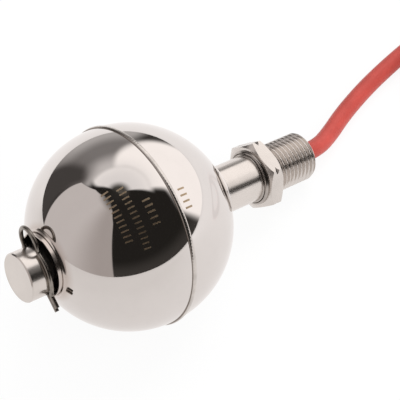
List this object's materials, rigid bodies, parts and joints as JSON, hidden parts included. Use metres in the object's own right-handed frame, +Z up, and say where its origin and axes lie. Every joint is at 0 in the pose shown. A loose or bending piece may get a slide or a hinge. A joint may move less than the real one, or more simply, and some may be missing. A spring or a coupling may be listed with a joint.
{
  "type": "float level switch",
  "caption": "Stainless ball float that slides on a closed stem with a wire clip, a hexagon fitting with a pipe thread, and a red cable.",
  "frame": {"origin": "on the floor below the middle of the switch's own length, without its free cable", "axes": "+Z up; +X along the floor from the stem's closed end towards the thread; the stem lies in the XZ plane and falls by 19.1 degrees towards the thread, as the switch lies on a table"},
  "size_m": [0.1948, 0.0908, 0.052],
  "materials": {
    "polished_steel": "mirror polish",
    "weld_steel": "satin weld",
    "satin_steel": "satin turned",
    "spring_wire": "drawn wire",
    "ferrite": "matte",
    "reed_glass": "clear",
    "reed_metal": "plated",
    "board": "solder resist",
    "copper": "bare copper",
    "solder": "bright",
    "liner": "matte",
    "resin": "cast",
    "red_jacket": "soft satin",
    "brown_core": "satin",
    "blue_core": "satin",
    "tinned_copper": "tinned"
  },
  "bodies": {
    "stem": {"stem_tube": "satin_steel", "stem_end_plug": "satin_steel", "retaining_clip": "spring_wire", "threaded_fitting": "satin_steel", "fitting_weld": "weld_steel", "potting_plug": "resin", "liner_sleeve": "liner", "reed_board": "board", "reed_glass": "reed_glass", "reed_blade_lower": "reed_metal", "reed_blade_upper": "reed_metal", "board_track_lower": "copper", "board_track_upper": "copper", "reed_solder_lower": "solder", "reed_solder_upper": "solder", "wire_solder_lower": "solder", "wire_solder_upper": "solder", "cable_inner_end": "red_jacket", "core_strand_lower": "tinned_copper", "core_strand_upper": "tinned_copper", "core_wire_lower": "brown_core", "core_wire_upper": "blue_core", "cable_jacket": "red_jacket", "cable_coil": "red_jacket", "end_core_lower": "brown_core", "end_tip_lower": "tinned_copper", "end_core_upper": "blue_core", "end_tip_upper": "tinned_copper"},
    "float": {"float_upper_shell": "polished_steel", "float_lower_shell": "polished_steel", "float_seam_bead": "weld_steel", "float_sleeve": "polished_steel", "ring_magnet": "ferrite", "magnet_collar_lower": "satin_steel", "magnet_collar_upper": "satin_steel"}
  },
  "joints": [
    {"name": "float_slide", "type": "slide", "parent": "stem", "child": "float", "axis": [0.945, 0, -0.3272], "range_m": [0, 0.0118]}
  ]
}
